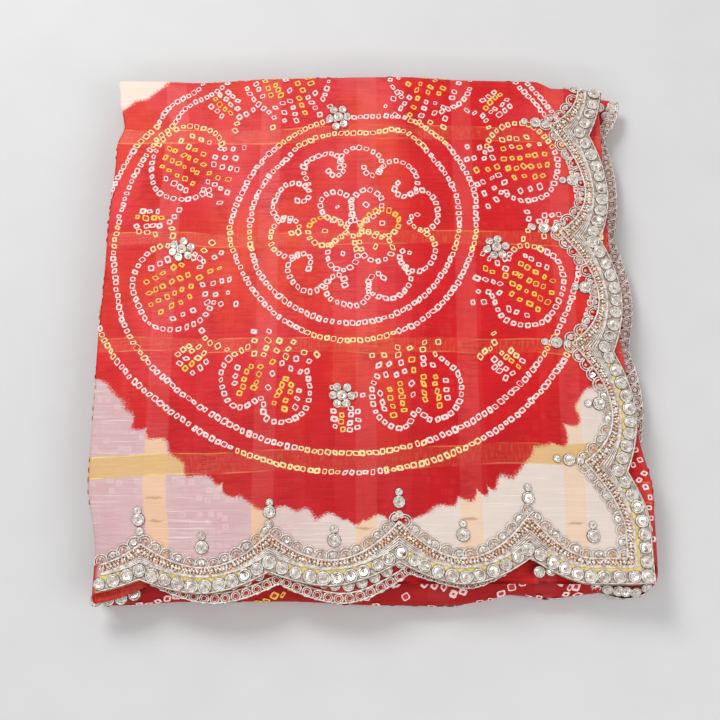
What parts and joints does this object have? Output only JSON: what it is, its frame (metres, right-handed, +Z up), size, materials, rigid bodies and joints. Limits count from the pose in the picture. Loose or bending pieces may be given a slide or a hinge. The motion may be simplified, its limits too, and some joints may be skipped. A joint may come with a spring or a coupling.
{
  "type": "folded bandhani cloth",
  "caption": "Square pack of a sheer tie-dyed cloth in red and cream, folded both ways, with a scalloped border of silver sequins and beads on two edges.",
  "frame": {"origin": "on the surface that the pack lies on, under the middle of its outline", "axes": "+Z up through the plies, +Y towards the back fold, +X towards the side with the free scalloped edge"},
  "size_m": [0.3326, 0.338, 0.0274],
  "materials": {
    "cloth": "sheer crinkled weave, resist-dyed red on cream, with woven gold bands",
    "border": "silver cord, bead and sequin embroidery on a narrow gold ground",
    "sequins": "bright silver sequins, sewn flat"
  },
  "bodies": {
    "root": {"cloth": "cloth", "border_front": "border", "border_side": "border", "flower_back": "sequins", "flower_left": "sequins", "flower_right": "sequins", "flower_front": "sequins", "drop_front_1": "sequins", "drop_front_2": "sequins", "drop_front_3": "sequins", "drop_front_4": "sequins", "drop_side_1": "sequins", "drop_side_2": "sequins", "drop_side_3": "sequins"}
  },
  "joints": []
}
